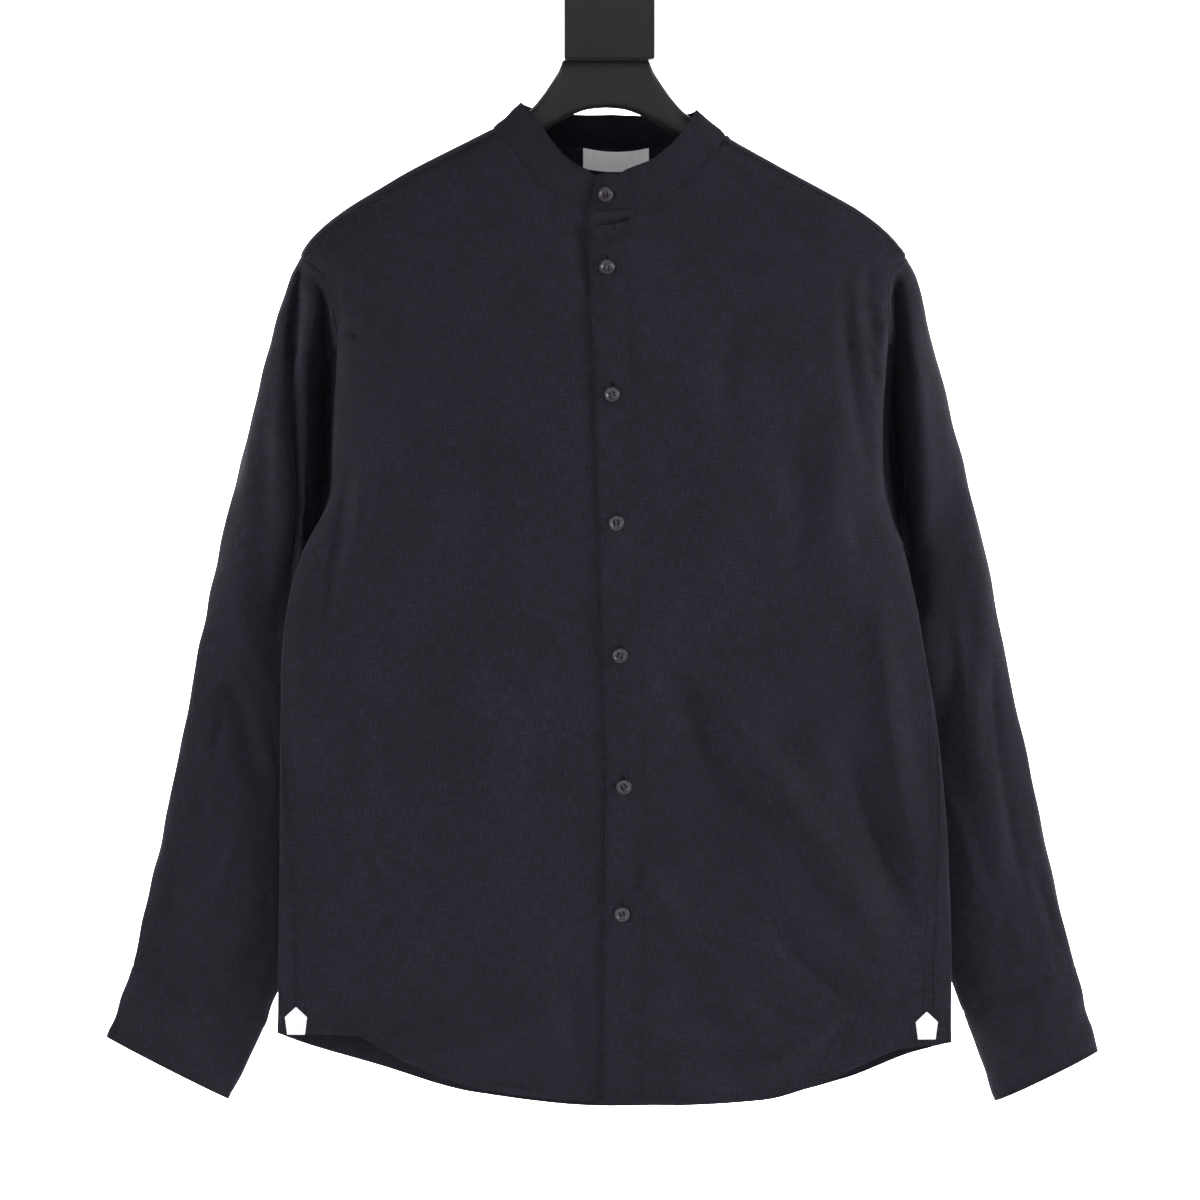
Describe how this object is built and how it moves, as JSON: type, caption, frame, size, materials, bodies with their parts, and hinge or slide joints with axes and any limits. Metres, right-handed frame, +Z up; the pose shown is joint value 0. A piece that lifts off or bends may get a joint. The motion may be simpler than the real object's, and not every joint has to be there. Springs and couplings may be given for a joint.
{
  "type": "mandarin collar shirt on a hanger",
  "caption": "Long-sleeved linen shirt with a standing band collar, buttoned front and curved hem, hung on a plain display hanger.",
  "frame": {"origin": "inner crown of the hanger's hook, where it lies on a rail", "axes": "+Z up, -Y out of the shirt's front, +X towards the wearer's left"},
  "size_m": [0.7753, 0.1346, 0.9559],
  "materials": {
    "linen": "matt dark ink-blue linen, plain weave with fine slubs",
    "white_cotton": "matt white woven cotton",
    "button": "dark purple-brown resin, softly polished",
    "hanger": "black moulded plastic with a satin skin",
    "hook_steel": "brushed steel wire"
  },
  "bodies": {
    "root": {"front_right": "linen", "front_left": "linen", "back": "linen", "yoke": "linen", "collar_band": "linen", "sleeve_right": "linen", "sleeve_left": "linen", "cuff_right": "linen", "cuff_left": "linen", "gusset_right": "white_cotton", "gusset_left": "white_cotton", "label": "white_cotton", "button_collar": "button", "button_front_1": "button", "button_front_2": "button", "button_front_3": "button", "button_front_4": "button", "button_front_5": "button", "button_front_6": "button", "button_cuff_right": "button", "button_cuff_left": "button", "hanger_arms": "hanger", "hanger_block": "hanger", "hanger_hook": "hook_steel"}
  },
  "joints": []
}
